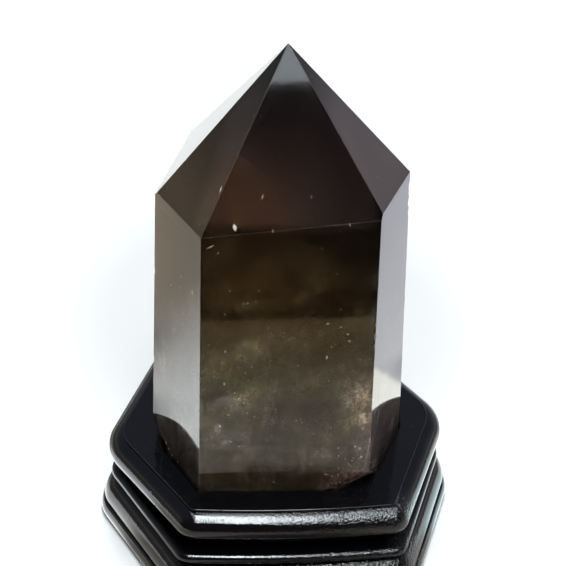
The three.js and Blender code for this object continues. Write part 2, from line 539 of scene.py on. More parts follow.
def make_stand():
    """Rings of points from the middle of the pocket's floor outwards: up the pocket's wall, over the flat
    top to the rim, down the mouldings, each ring the outline grown as the profile says, and in to the
    middle of the underside."""
    slab, base = stand_profile()
    mouldings = np.concatenate([outline(SLAB_CORNERS, slab[:, 0]), outline(BASE_CORNERS, base[:, 0])])
    rim = mouldings[0]
    # The pocket's edge is eased: each row is how far out and how far below the top.
    eased = np.array([(0.0, 0.20), (0.015, 0.11), (0.055, 0.045), (0.12, 0.01), (0.2, 0.0)])
    wall = [pocket_outline(rim, POCKET_CLEARANCE + out) for out in eased[:, 0]]
    floor = [TIP_AXIS + (wall[0] - TIP_AXIS) * share for share in (0.02, 0.5, 1.0)]
    land = [wall[-1] + (rim - wall[-1]) * share for share in (0.01, 0.1, 0.5, 0.9, 0.99)]
    under = [mouldings[-1] * share for share in (0.97, 0.5, 0.02)]
    rings = np.concatenate([floor, wall, land, mouldings, under])
    top = STAND_TOP / MM
    heights = np.concatenate([
        [POCKET_FLOOR] * 3, top - eased[:, 1], [top] * 5, slab[:, 1], base[:, 1], [0.0] * 3,
    ])
    levels = np.broadcast_to(heights[:, None, None], (*rings.shape[:2], 1))
    count = rings.shape[1]
    faces = ring_faces(len(rings), count).tolist()
    last = (len(rings) - 1) * count
    faces.append(list(range(count)))
    faces.append([last + index for index in reversed(range(count))])
    mesh = mesh_of("lacquered_stand_shown", np.concatenate([rings, levels], axis=2) * MM, faces)
    mesh.shade_smooth()
    sharpened(mesh, 35.0)
    return show("stand_lacquered", mesh, [LACQUER])


stand = make_stand()
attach(stand, "root")
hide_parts("lacquered_stand")

# ---- the crystal's flat faces ------------------------------------------------------------------------


def crystal_facets():
    """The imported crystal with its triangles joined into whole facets."""
    bm = bmesh.new()
    bm.from_mesh(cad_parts["quartz_point"].data)
    bmesh.ops.remove_doubles(bm, verts=bm.verts, dist=0.002 * MM)
    bmesh.ops.dissolve_limit(bm, angle_limit=np.radians(0.3), verts=bm.verts, edges=bm.edges)
    mesh = bpy.data.meshes.new("quartz_point_facets")
    bm.to_mesh(mesh)
    bm.free()
    return mesh


FACETS = crystal_facets()
NORMALS = np.array([face.normal[:] for face in FACETS.polygons])
CENTRES = np.array([face.center[:] for face in FACETS.polygons])
OFFSETS = (NORMALS * CENTRES).sum(axis=1)


def heading(azimuth, elevation):
    """The unit vector at an azimuth and an elevation in degrees."""
    turn, rise = np.radians([azimuth, elevation])
    return np.array([np.cos(rise) * np.cos(turn), np.cos(rise) * np.sin(turn), np.sin(rise)])


class Facet:
    """The flat face of the crystal that looks most nearly along a direction."""

    def __init__(self, azimuth, elevation):
        index = int(np.argmax(NORMALS @ heading(azimuth, elevation)))
        self.normal = NORMALS[index]
        self.offset = OFFSETS[index]
        self.centre = CENTRES[index]
        level = np.array([self.normal[0], self.normal[1], 0.0])
        self.reach = np.linalg.norm(level)
        self.out = level / self.reach
        self.across = np.array([-self.out[1], self.out[0], 0.0])
        self.up = np.cross(self.normal, self.across)

    def at(self, across, height, depth):
        """The points across millimetres to the right of the tip axis and height millimetres up, on the
        plane of the face or depth millimetres under it."""
        lengths = (np.asarray(value, float) * MM for value in (across, height, depth))
        across, height, depth = np.broadcast_arrays(*lengths)
        axis = np.array([*(TIP_AXIS * MM), 0.0])
        out = (self.offset - self.normal @ axis - self.normal[2] * height) / self.reach
        points = axis + across[..., None] * self.across + out[..., None] * self.out
        points = points + height[..., None] * np.array([0.0, 0.0, 1.0])
        return points - depth[..., None] * self.normal


FRONT = Facet(-91.0, 2.1)
RIGHT_FRONT = Facet(-24.0, 1.5)
RIGHT_BACK = Facet(29.0, 2.5)
BACK = Facet(89.0, 1.5)
LEFT_BACK = Facet(160.5, 1.7)
LEFT_FRONT = Facet(208.0, 1.7)
TIP_FRONT = Facet(-95.7, 38.2)
RIGHT_BREAK = Facet(-58.9, -32.1)
LEFT_BREAK = Facet(186.0, -20.0)


def pressed_inside(points, margin):
    """Points nearer to a face than margin, or beyond it, moved in along its normal."""
    shape = points.shape
    points = points.reshape(-1, 3)
    for _ in range(5):
        short = margin - (OFFSETS - points @ NORMALS.T)
        worst = short.argmax(axis=1)
        push = np.maximum(short[np.arange(len(points)), worst], 0.0)
        points = points - NORMALS[worst] * push[:, None]
    return points.reshape(shape)


def edge_point(first, second, height):
    """Where the edge between two faces passes a height in millimetres: three planes' equations solved."""
    rows = np.stack([first.normal, second.normal, [0.0, 0.0, 1.0]])
    return np.linalg.solve(rows, [first.offset, second.offset, height * MM])


# ---- the crystal -------------------------------------------------------------------------------------

ARRIS_WIDTH = 0.065 * MM
# The finishes of the crystal's mesh, and the places in the list of those that its breaks and chips take.
CRYSTAL_FINISHES = [QUARTZ, BREAK, ARRIS]
STAINED = 1
GROUND = 2

BALL_ROWS = 20
BALL_COLUMNS = 32


def ball(centre, radius):
    """A sphere: circles of radius sin(polar) at height cos(polar), closed by a point at each pole."""
    polar = np.linspace(0, np.pi, BALL_ROWS + 1)[1:-1, None]
    turn = np.linspace(0, 2 * np.pi, BALL_COLUMNS, endpoint=False)
    level = np.cos(polar) + 0 * turn
    rings = np.stack([np.sin(polar) * np.cos(turn), np.sin(polar) * np.sin(turn), level], axis=-1)
    points = np.concatenate([[(0, 0, 1.0)], rings.reshape(-1, 3), [(0, 0, -1.0)]]) * radius + centre
    here = np.arange(BALL_COLUMNS)
    ahead = (here + 1) % BALL_COLUMNS
    last = len(points) - 1
    lowest = last - BALL_COLUMNS
    cap = np.stack([0 * here, 1 + here, 1 + ahead], axis=1).tolist()
    foot = np.stack([0 * here + last, lowest + ahead, lowest + here], axis=1).tolist()
    return points, cap + (ring_faces(BALL_ROWS - 1, BALL_COLUMNS) + 1).tolist() + foot


def bites():
    """The balls that shells are broken out with, as (centre, radius, slot)."""
    draw = np.random.default_rng(11)
    # Two faces, and for each chip out of the edge between them its height and its depth in millimetres.
    edges = [
        (RIGHT_FRONT, RIGHT_BACK, (91.5, 90.0, 87.4, 84.9), (0.5, 0.35, 0.45, 0.25)),
        (FRONT, RIGHT_FRONT, (69.5, 66.2, 63.8, 57.0, 38.5), (0.12, 0.2, 0.14, 0.1, 0.2)),
        (FRONT, LEFT_FRONT, (55.5, 47.0), (0.1, 0.1)),
        (LEFT_FRONT, LEFT_BACK, (71.0, 47.0), (0.2, 0.2)),
        (RIGHT_BACK, BACK, (80.0, 58.0, 41.0), (0.35,) * 3),
        (BACK, LEFT_BACK, (49.0,), (0.3,)),
    ]
    for first, second, heights, depths in edges:
        outward = first.normal + second.normal
        outward /= np.linalg.norm(outward)
        for height, depth in zip(heights, depths):
            radius = draw.uniform(1.3, 2.6) * MM
            yield edge_point(first, second, height) + outward * (radius - depth * MM), radius, GROUND
    # Each broken corner, how far from its middle shells are broken out in millimetres, and how many.
    for facet, spread, count in ((RIGHT_BREAK, 6.5, 20), (LEFT_BREAK, 4.5, 12)):
        for _ in range(count):
            radius = draw.uniform(1.6, 4.5) * MM
            side, rise = draw.uniform(-spread, spread, 2) * MM
            centre = facet.centre + facet.across * side + facet.up * rise
            yield centre + facet.normal * (radius - draw.uniform(0.3, 0.8) * MM), radius, STAINED


def bitten(piece):
    """Gives the piece a cut for every ball, and yields the balls."""
    for index, (centre, radius, slot) in enumerate(bites()):
        mesh = mesh_of(f"bite_{index}", *ball(centre, radius))
        mesh.shade_smooth()
        tool = show(f"bite_{index}", mesh, CRYSTAL_FINISHES)
        mesh.polygons.foreach_set("material_index", [slot] * len(mesh.polygons))
        cut = piece.modifiers.new("bite", "BOOLEAN")
        cut.operation = "DIFFERENCE"
        cut.solver = "EXACT"
        cut.object = tool
        yield tool


def settled(piece, tools=()):
    """Applies the piece's modifiers and throws its tools away."""
    graph = bpy.context.evaluated_depsgraph_get()
    mesh = bpy.data.meshes.new_from_object(piece.evaluated_get(graph))
    piece.modifiers.clear()
    piece.data = mesh
    for tool in tools:
        bpy.data.objects.remove(tool)


def make_crystal():
    """The crystal's facets with a fine ground arris along each edge, then the shells broken out of its
    arrises and of its two broken corners."""
    mesh = FACETS.copy()
    mesh.shade_flat()
    piece = show("quartz_point_polished", mesh, CRYSTAL_FINISHES)
    broken = [int(np.argmax(NORMALS @ facet.normal)) for facet in (RIGHT_BREAK, LEFT_BREAK)]
    for index in broken:
        mesh.polygons[index].material_index = STAINED
    bevel = piece.modifiers.new("arris", "BEVEL")
    bevel.width = ARRIS_WIDTH
    bevel.segments = 2
    bevel.limit_method = "ANGLE"
    bevel.angle_limit = np.radians(8.0)
    bevel.material = GROUND
    settled(piece)
    tools = list(bitten(piece))
    settled(piece, tools)
    sharpened(piece.data, 25.0)
    return piece


crystal = make_crystal()
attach(crystal, "root")
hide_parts("quartz_point")

# ---- what is sealed in the crystal -------------------------------------------------------------------


def sealed(piece):
    """Makes a piece part of the crystal: it rides on the same body."""
    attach(piece, "root")


# Tints of what is sealed in the stone.
GOLD = (0.82, 0.58, 0.18)
AMBER = (0.90, 0.60, 0.26)
HONEY = (0.74, 0.60, 0.32)
DEEP_HONEY = (0.86, 0.67, 0.29)
CREAM = (0.92, 0.84, 0.54)
LINEN = (0.85, 0.78, 0.66)
PALE_LINEN = (0.85, 0.80, 0.78)
OLIVE = (0.66, 0.66, 0.26)
GREEN = (0.60, 0.66, 0.52)
MAUVE = (0.62, 0.50, 0.52)
ROSE = (0.75, 0.56, 0.52)
PINK = (0.95, 0.83, 0.82)
PEACH = (0.97, 0.76, 0.55)
WHITE = (0.93, 0.92, 0.93)
GREY = (0.66, 0.66, 0.64)
TAN = (0.70, 0.58, 0.42)
UMBER = (0.60, 0.46, 0.40)
DARK_UMBER = (0.56, 0.43, 0.42)
BROWN = (0.50, 0.36, 0.24)
DARK_BROWN = (0.30, 0.20, 0.10)
RUST = (0.44, 0.18, 0.11)
EMBER = (0.95, 0.31, 0.09)
RED_EMBER = (0.95, 0.24, 0.06)
DARK_SMOKE = (0.07, 0.025, 0.012)

# How much stone is left over each kind of thing that is sealed in it.
OVER_A_VEIL = 0.25 * MM
OVER_A_CRACK = 0.3 * MM
OVER_A_GRAIN = 0.12 * MM

# How long the swells of a veil are in millimetres: of its depth, its cover and its clouds' outlines.
DEPTH_SWELL = 11.0
COVER_SWELL = 13.0
OUTLINE_SWELL = 6.0
# A veil fades out over one part in this many of its width and of its height.
FADE = 14

CRACK_RINGS = 26
CRACK_SPOKES = 72
# A crack's bright rim begins this share of the way out, and is at its full after this much more.
RIM_START = 0.3
RIM_RISE = 0.45


def veil(name, facet, across, height, depth, swell, seed, tint, base, clouds=(), material=VEIL, points=90):
    """A layer under a facet, over a span across and a span of heights, at a depth that swells by about
    swell, all in millimetres. Its cover is interpolated from the (height, value) pairs of base. Each cloud
    adds its value times e to the minus of the cubed distance in its half widths and half heights, or clears
    the layer where the value is negative. The layer fades at its sides. Its tint is the mean of the base's
    and the clouds', each weighed by its share of the cover."""
    side, rise = np.meshgrid(np.linspace(*across, points), np.linspace(*height, points))
    under = depth + swell * waves(side, rise, DEPTH_SWELL, seed)
    place = pressed_inside(facet.at(side, rise, under), OVER_A_VEIL)
    heights, values = zip(*base)
    share = (side - across[0]) / (across[1] - across[0])
    climb = (rise - height[0]) / (height[1] - height[0])
    fade = smooth(np.minimum(share, 1 - share) * FADE) * smooth(np.minimum(climb, 1 - climb) * FADE)
    cover = np.interp(rise, heights, values) * (1.0 + 0.3 * waves(side, rise, COVER_SWELL, seed + 1))
    parts = np.maximum(cover, 0.02)[..., None]
    colour = parts * np.array(tint)
    bent = 0.25 * waves(side, rise, OUTLINE_SWELL, seed + 2)
    for x, z, wide, tall, value, hue in clouds:
        reach = ((side - x) / wide) ** 2 + ((rise - z) / tall) ** 2
        spot = value * np.exp(-(reach**1.5) * (1.0 + bent))
        cover = cover + spot
        colour = colour + np.abs(spot)[..., None] * np.array(hue)
        parts = parts + np.abs(spot)[..., None]
    mesh = mesh_of(name, place, open_faces(points, points))
    keep_number(mesh, "cover", np.clip(cover, 0.0, 1.5) * fade)
    keep_colour(mesh, "tint", colour / parts)
    mesh.shade_smooth()
    sealed(show(name, mesh, [material]))


def crack(name, facet, place, radii, tilt, bulge, seed, strength):
    """A healed crack at a place (across, height, depth) under a facet: an oval film with a ragged edge,
    dished by bulge times the square of its radius, and tilted by two angles in degrees about its level and
    its rising axis. Its cover rises towards the rim and stops there."""
    share = np.linspace(0.02, 1, CRACK_RINGS)
    spoke = np.linspace(0, 2 * np.pi, CRACK_SPOKES, endpoint=False)
    radius, turn = np.meshgrid(share, spoke, indexing="ij")
    east, north = np.cos(turn), np.sin(turn)
    ragged = 1 + 0.12 * waves(east, north, 1.1, seed)
    side, rise = radii[0] * radius * east, radii[1] * radius * north
    dish = bulge * radius**2 + 0.5 * waves(side, rise, 7.0, seed + 1)
    flat = np.stack([side * ragged, rise * ragged, dish], axis=-1) * MM
    level, rising = np.radians(tilt)
    spin = np.array(Matrix.Rotation(level, 3, "X") @ Matrix.Rotation(rising, 3, "Y"))
    axes = np.stack([facet.across, facet.up, facet.normal])
    points = pressed_inside(facet.at(*place) + flat @ spin.T @ axes, OVER_A_CRACK)
    mesh = mesh_of(name, points, ring_faces(CRACK_RINGS, CRACK_SPOKES))
    glow = smooth((radius - RIM_START) / RIM_RISE) * smooth((1 - radius) * 9)
    patchy = 0.65 + 0.5 * waves(east, north, 1.6, seed + 2)
    keep_number(mesh, "cover", strength * (0.12 + glow) * patchy)
    mesh.shade_smooth()
    sealed(show(name, mesh, [HEALED]))


OCTAHEDRON = np.array([(1, 0, 0), (-1, 0, 0), (0, 1, 0), (0, -1, 0), (0, 0, 1), (0, 0, -1)], float)
OCTAHEDRON_FACES = np.array([
    (0, 2, 4), (2, 1, 4), (1, 3, 4), (3, 0, 4), (2, 0, 5), (1, 2, 5), (3, 1, 5), (0, 3, 5),
])


def grains(name, centres, sizes, axes, tones):
    """Small eight-sided grains: each is an octahedron stretched by its half sizes along its three axes."""
    points = centres[:, None] + np.einsum("pk,nk,nkc->npc", OCTAHEDRON, sizes, axes)
    faces = OCTAHEDRON_FACES[None] + len(OCTAHEDRON) * np.arange(len(centres))[:, None, None]
    mesh = mesh_of(name, pressed_inside(points, OVER_A_GRAIN), faces.reshape(-1, 3))
    keep_number(mesh, "tone", np.repeat(tones, len(OCTAHEDRON)))
    sealed(show(name, mesh, [SPECKS]))


def leaning(facet, lean):
    """Three axes for each lean in radians: a facet's level and rising directions, turned by it in the
    facet's plane, and the facet's normal."""
    lean = lean[:, None]
    first = np.cos(lean) * facet.across + np.sin(lean) * facet.up
    second = -np.sin(lean) * facet.across + np.cos(lean) * facet.up
    return np.stack([first, second, np.broadcast_to(facet.normal, first.shape)], axis=1)


def flakes(name, facet, table, depth, seed):
    """Flat grains set one by one under a facet, each a row (across, height, half width, half height, lean
    in degrees, tone)."""
    draw = np.random.default_rng(seed)
    across, height, wide, tall, lean, tone = np.array(table, float).T
    centres = facet.at(across, height, depth + draw.uniform(0, 0.6, len(table)))
    sizes = np.stack([wide, tall, 0.12 * np.minimum(wide, tall)], axis=1) * MM
    grains(name, centres, sizes, leaning(facet, np.radians(lean)), tone)


def scattered(name, facet, across, height, depth, count, size, seed, stretch=1.0):
    """Grains strewn at random under a facet, more of them small than large."""
    draw = np.random.default_rng(seed)
    side = draw.uniform(*across, count)
    rise = draw.uniform(*height, count)
    centres = facet.at(side, rise, draw.uniform(*depth, count))
    scale = size[0] + (size[1] - size[0]) * draw.uniform(0, 1, count) ** 3
    sizes = np.stack([scale, scale * stretch, scale * 0.5], axis=1) * MM
    axes = leaning(facet, draw.normal(0, 0.5, count))
    grains(name, centres, sizes, axes, draw.uniform(0, 1, count) ** 2)


# Clouds are (across, height, half width, half height, value, tint).
veil(
    "front_clouds", FRONT, (-20.6, 20.6), (18.4, 73.0), depth=0.9, swell=0.4, seed=3, tint=HONEY,
    base=((18, 0.05), (31, 0.06), (34, 0.09), (60, 0.05), (68, 0.025), (73, 0.0)),
    clouds=(
        (-5.0, 67.0, 11.0, 3.6, 0.01, GOLD), (-5.5, 62.8, 4.6, 2.4, 0.07, CREAM),
        (-7.6, 61.0, 1.6, 4.4, 0.05, CREAM), (5.5, 61.5, 5.0, 5.0, -0.03, MAUVE),
        (15.0, 66.5, 5.0, 4.0, -0.01, MAUVE), (-18.0, 67.0, 3.0, 4.0, -0.02, BROWN),
        (-15.8, 57.0, 3.8, 3.5, 0.035, GREEN), (-9.0, 53.5, 6.0, 4.0, 0.05, OLIVE),
        (5.2, 57.0, 2.0, 1.6, 0.03, RUST), (-1.2, 57.5, 2.8, 3.3, 0.03, PEACH),
        (12.8, 52.0, 1.9, 3.5, 0.07, GREEN), (16.0, 51.0, 3.6, 5.4, 0.26, PEACH),
        (17.6, 44.0, 2.0, 5.6, 0.36, PEACH), (17.6, 35.6, 2.0, 2.6, 0.26, WHITE),
        (13.6, 39.5, 3.2, 2.8, 0.04, OLIVE), (1.0, 43.0, 6.5, 6.5, -0.02, MAUVE),
        (-14.0, 46.5, 4.6, 4.4, 0.1, OLIVE), (-9.6, 49.0, 2.2, 1.9, 0.26, CREAM),
        (-14.1, 42.4, 1.2, 1.3, 0.45, WHITE), (-13.5, 39.5, 6.0, 2.0, 0.1, WHITE),
        (-9.5, 37.4, 4.4, 1.3, 0.08, WHITE), (3.0, 34.6, 14.0, 2.2, 0.05, PINK),
        (-17.5, 33.5, 3.2, 2.2, 0.05, MAUVE), (17.5, 29.0, 4.5, 2.9, 0.18, RUST),
        (0.0, 27.5, 17.0, 4.4, 0.02, GREY), (-6.0, 45.0, 5.0, 3.0, 0.04, CREAM),
    ),
)
veil(
    "front_clouds_deep", FRONT, (-19.0, 19.5), (19.0, 94.0), depth=3.0, swell=1.4, seed=7, tint=DEEP_HONEY,
    base=((19, 0.11), (31, 0.13), (34, 0.16), (60, 0.13), (64, 0.14), (72, 0.07), (84, 0.05), (94, 0.0)),
    clouds=(
        (-5.0, 66.0, 10.0, 4.4, 0.06, GOLD), (-10.0, 55.0, 8.0, 6.6, 0.1, OLIVE),
        (14.5, 45.0, 6.0, 8.5, 0.12, CREAM), (2.0, 43.0, 6.6, 6.6, -0.05, MAUVE),
        (-6.0, 78.0, 13.0, 8.0, 0.085, AMBER), (12.0, 61.0, 7.0, 5.0, -0.03, MAUVE),
    ),
    material=SOFT_VEIL,
)
veil(
    "tip_glow", TIP_FRONT, (-19.0, 14.0), (91.5, 114.0), depth=2.4, swell=0.3, seed=9, tint=GOLD,
    base=((91, 0.0), (114, 0.0)),
    clouds=((-6.5, 93.0, 12.0, 8.6, 0.038, EMBER), (-8.0, 95.0, 6.0, 5.0, 0.022, RED_EMBER)),
    material=HAZE,
)
veil(
    "tip_core", TIP_FRONT, (-14.0, 14.0), (92.0, 113.0), depth=4.5, swell=0.4, seed=11, tint=DARK_SMOKE,
    base=((92, 0.0), (113, 0.0)), clouds=((-4.0, 99.0, 12.0, 7.0, 0.55, DARK_SMOKE),), material=HAZE,
)
veil(
    "tip_haze", TIP_FRONT, (-18.0, 20.0), (92.0, 121.0), depth=1.2, swell=0.3, seed=10, tint=ROSE,
    base=((92, 0.033), (108, 0.018), (121, 0.008)), material=HAZE,
)
veil(
    "left_clouds", LEFT_FRONT, (-9.2, 14.0), (18.4, 88.0), depth=0.7, swell=0.3, seed=12, tint=LINEN,
    base=((18, 0.04), (28, 0.06), (36, 0.1), (50, 0.06), (62, 0.03), (88, 0.0)),
    clouds=(
        (-5.5, 45.0, 2.8, 13.0, 0.1, WHITE), (11.0, 47.0, 2.0, 9.0, 0.06, WHITE),
        (4.0, 38.0, 5.0, 5.0, 0.05, WHITE),
    ),
)
veil(
    "left_foot", LEFT_FRONT, (-9.2, 14.0), (18.4, 44.0), depth=1.0, swell=0.3, seed=13, tint=UMBER,
    base=((18, 0.07), (32, 0.05), (44, 0.0)), material=HAZE, points=40,
)
veil(
    "left_smudge", LEFT_FRONT, (4.0, 13.0), (65.0, 80.0), depth=0.5, swell=0.2, seed=15, tint=BROWN,
    base=((66, 0.0), (80, 0.0)), clouds=((8.2, 72.2, 1.6, 4.2, 0.3, DARK_BROWN),), material=HAZE, points=40,
)
veil(
    "right_clouds", RIGHT_FRONT, (-17.0, 9.0), (18.4, 88.0), depth=0.7, swell=0.3, seed=21, tint=PALE_LINEN,
    base=((18, 0.02), (32, 0.04), (44, 0.14), (60, 0.08), (88, 0.02)),
    clouds=((-6.0, 50.0, 2.0, 8.0, 0.12, WHITE),),
)
veil(
    "right_foot", RIGHT_FRONT, (-17.0, 9.0), (18.4, 50.0), depth=1.0, swell=0.3, seed=23, tint=DARK_UMBER,
    base=((18, 0.15), (34, 0.33), (50, 0.0)), material=HAZE, points=40,
)
veil(
    "right_back_clouds", RIGHT_BACK, (-18.0, 7.6), (19.0, 84.0), depth=1.2, swell=0.7, seed=31, tint=TAN,
    base=((19, 0.16), (45, 0.12), (84, 0.0)),
)
veil(
    "back_clouds", BACK, (-17.3, 22.0), (19.0, 80.0), depth=1.2, swell=0.7, seed=37, tint=TAN,
    base=((19, 0.18), (45, 0.14), (80, 0.0)), clouds=((-6.0, 50.0, 8.0, 7.0, 0.12, OLIVE),),
)
veil(
    "left_back_clouds", LEFT_BACK, (-10.5, 16.0), (19.0, 84.0), depth=1.2, swell=0.7, seed=43, tint=TAN,
    base=((19, 0.16), (45, 0.12), (84, 0.0)),
)
veil(
    "rust_film", RIGHT_BREAK, (-9.0, 9.0), (19.0, 30.0), depth=1.0, swell=0.3, seed=47, tint=RUST,
    base=((19, 0.34), (30, 0.34)), points=40,
)

crack("crack_left_low", FRONT, (-12.5, 44.5, 2.0), (5.5, 7.2), (14.0, -10.0), 1.6, 51, 0.3)
crack("crack_band_low", FRONT, (-9.0, 37.5, 2.4), (11.0, 2.6), (-30.0, 6.0), -1.0, 55, 0.3)
crack("crack_middle", FRONT, (2.0, 47.0, 6.0), (10.0, 9.0), (24.0, 22.0), 2.6, 58, 0.15)
crack("crack_right", FRONT, (16.5, 43.0, 2.5), (3.6, 9.5), (6.0, -28.0), 1.2, 61, 0.4)
crack("crack_back", BACK, (-8.0, 42.0, 4.0), (8.0, 10.0), (-20.0, 12.0), 2.4, 70, 0.25)

# Painted glints: the big white flake high at the left, and the white ones low at the right by the break.
flakes("front_flakes", FRONT, [
    (-11.1, 92.9, 0.45, 1.0, 12, 0.1), (12.0, 93.5, 0.12, 0.45, 8, 0.2), (-3.4, 91.9, 0.1, 0.4, -12, 0.2),
    (-16.0, 88.4, 0.95, 0.14, 30, 0.3), (-14.4, 87.0, 0.24, 0.1, 30, 0.3), (-12.0, 77.8, 0.16, 0.18, 0, 0.2),
    (-8.3, 74.8, 0.14, 0.2, 10, 0.3), (-13.0, 72.1, 0.15, 0.15, 0, 0.6), (10.0, 92.1, 0.1, 0.12, 0, 0.0),
    (-10.0, 50.2, 0.3, 0.16, 30, 0.1), (-8.9, 48.8, 0.26, 0.14, 60, 0.3), (-10.9, 51.6, 0.24, 0.12, 45, 0.1),
    (-8.2, 46.2, 0.26, 0.12, 40, 0.1), (-14.1, 42.5, 0.24, 0.42, 15, 0.2), (-13.1, 54.1, 0.22, 0.35, 0, 0.1),
    (-12.9, 62.5, 0.16, 0.3, -20, 0.2), (8.5, 69.4, 0.45, 0.16, 15, 0.0), (12.8, 66.8, 0.3, 0.18, 5, 0.1),
    (11.3, 68.6, 0.3, 0.14, 20, 0.1), (8.6, 60.9, 0.22, 0.55, -5, 0.0), (13.2, 65.0, 0.28, 0.2, 0, 0.1),
    (-11.8, 38.3, 0.5, 0.14, -28, 0.0), (-9.9, 37.0, 0.22, 0.18, 0, 0.0), (16.9, 35.8, 0.4, 0.35, 40, 0.0),
    (15.8, 36.4, 0.25, 0.4, 0, 0.0), (17.3, 33.6, 0.35, 0.3, 20, 0.1), (9.6, 28.4, 0.45, 0.16, 10, 0.0),
    (11.0, 28.1, 0.35, 0.18, -15, 0.1), (12.4, 28.3, 0.3, 0.16, 25, 0.0), (12.0, 25.9, 0.3, 0.15, 10, 0.0),
    (12.9, 26.2, 0.22, 0.2, 0, 0.0), (13.9, 26.1, 0.35, 0.14, 20, 0.0), (11.2, 25.8, 0.2, 0.12, 0, 0.0),
    (20.0, 31.6, 0.2, 0.5, -10, 0.0), (19.8, 33.6, 0.16, 0.3, 0, 0.0), (20.0, 29.6, 0.2, 0.3, 0, 0.2),
    (-12.2, 45.6, 0.4, 0.16, -15, 0.9), (2.6, 43.9, 0.25, 0.1, 15, 0.1), (3.9, 43.4, 0.2, 0.1, 0, 0.2),
    (-2.0, 26.6, 0.2, 0.12, 0, 0.0),
], 0.35, 81)
flakes("tip_flakes", TIP_FRONT, [
    (-6.4, 110.6, 0.08, 0.16, 0, 0.1), (-5.0, 110.5, 0.06, 0.12, 0, 0.1),
    (-12.3, 98.6, 0.12, 0.9, -14, 0.2), (-3.9, 97.7, 0.1, 0.6, -16, 0.4),
    (5.9, 98.0, 0.06, 0.45, 6, 0.3),
], 0.3, 83)
# Painted glints: the straw flakes low down, where the face meets the stand.
flakes("left_flakes", LEFT_FRONT, [
    (8.7, 75.6, 0.28, 0.6, 5, 0.6), (-10.0, 57.0, 0.3, 0.3, 0, 0.1), (-9.0, 54.0, 0.2, 0.2, 0, 0.1),
    (-2.4, 26.6, 0.25, 0.45, 30, 0.8), (-1.3, 25.6, 0.22, 0.35, 30, 0.6), (0.4, 25.0, 0.2, 0.3, 20, 0.9),
    (3.4, 25.2, 0.16, 0.2, 0, 0.9),
], 0.25, 85)
scattered("front_grains", FRONT, (-19, 20), (19, 66), (0.6, 4.0), 90, (0.025, 0.07), 91, stretch=4.0)
scattered("corner_grains", FRONT, (12, 20), (24, 36), (0.3, 3.0), 60, (0.05, 0.2), 92)
scattered("left_grains", LEFT_FRONT, (-14, 9), (19, 80), (0.6, 4.0), 30, (0.04, 0.12), 94, stretch=1.6)
scattered("back_grains", BACK, (-19, 19), (19, 78), (0.3, 6.0), 120, (0.04, 0.2), 96, stretch=1.6)

# ---- stage, light and camera -------------------------------------------------------------------------

FLOOR_REACH = 3.0
MIRRORED_REACH = 2.9
MIRRORED_LIFT = 0.5 * MM


def sheet(name, reach, height, material):
    """A level square about the origin that isn't part of the object."""
    corners = [(-1, -1), (1, -1), (1, 1), (-1, 1)]
    points = [(reach * east, reach * north, height) for east, north in corners]
    piece = show(name, mesh_of(name, points, [(0, 1, 2, 3)]), [material])
    return piece


def paper_with_painted_shade():
    """White paper with painted shade: its colour is duller in a soft oval round the back of the stand,
    standing in for the soft shadow there.
    """
    material, tree = finish_named("pale_floor_painted_shade")
    x, y, _ = tree.axes()
    east = (x - 3 * MM) * (1 / (55 * MM))
    north = (y - 75 * MM) * (1 / (65 * MM))
    # Painted shadow: the paper's colour is duller inside this oval.
    oval = (east**2.0 + north**2.0).below(1.0, 0.9)
    paper = tree.mix(oval, (0.48, 0.47, 0.465), (0.408, 0.391, 0.383))
    surfaced(tree, {"Base Color": paper, "Roughness": 0.9, "Specular IOR Level": 0.1})
    return material


def laid(tree, tone, *patches):
    """A tone with patches, each (where, tone), laid over it one after another."""
    for where, patch in patches:
        tone = tree.mix(where, tone, patch)
    return tone


def lit_floor():
    """Painted reflection: the glow of a sheet that only polished faces see, for how bright the floor is
    when it is seen in a polished face. It is painted shadow, dark, close under and close behind the stand;
    it is also dark far out at either side and from the near edge of the paper on, warm in front of the
    stand, and brightest beside it."""
    material, tree = finish_named("lit_floor")
    x, y, _ = tree.axes()
    # The paper's near edge lies a little askew.
    askew = y + 0.05 * x
    close_behind_left = x.above(-66 * MM, 14 * MM) * y.above(14 * MM, 20 * MM)
    wide_behind_left = x.above(-92 * MM, 20 * MM) * y.above(34 * MM, 16 * MM)
    close_behind_right = x.below(64 * MM, 12 * MM) * y.above(36 * MM, 14 * MM)
    left = laid(
        tree,
        (1.08, 0.94, 0.76),
        (y.below(27 * MM, 40 * MM), (2.8, 2.9, 2.9)),
        (close_behind_left.larger(wide_behind_left), (0.26, 0.3, 0.32)),
    )
    right = laid(
        tree,
        (1.25, 1.27, 1.38),
        (y.below(60 * MM, 60 * MM), (1.4, 1.42, 1.48)),
        (y.below(33 * MM, 3 * MM), (2.25, 2.28, 2.1)),
        (y.below(12 * MM, 10 * MM), (1.95, 2.4, 2.5)),
        (close_behind_right, (0.3, 0.34, 0.38)),
    )
    beside = laid(
        tree,
        left,
        (x.above(0.0, 20 * MM), right),
        (y.above(190 * MM, 120 * MM), (1.8, 1.85, 1.85)),
        ((x * x).above(0.048, 0.028), (0.32, 0.35, 0.38)),
    )
    before = laid(
        tree,
        (0.6, 0.43, 0.24),
        (askew.above(-100 * MM, 70 * MM), (0.82, 0.8, 0.72)),
        ((x * x).above(0.005, 0.002), (1.5, 1.5, 1.42)),
    )
    away = past_shade(x, y)
    shade = tree.mix(away.above(-12 * MM, 16 * MM), (0.07, 0.075, 0.08), (0.17, 0.17, 0.18))
    glow = laid(
        tree,
        beside,
        (y.below(-14 * MM, 10 * MM), before),
        (askew.below(-134.4 * MM, 1.5 * MM), (0.06, 0.04, 0.03)),
        (away.below(0.0, 4 * MM), shade),
    )
    black = {"Base Color": (0.0, 0.0, 0.0), "Specular IOR Level": 0.0}
    surfaced(tree, {**black, "Emission Color": glow, "Emission Strength": 1.0})
    return material


# How far the stand's shade reaches from each side of its base, in millimetres: far in front and little
# elsewhere.
SHADE_REACH = (30.0, 0.0, 6.0, 6.0, 6.0, 0.0)


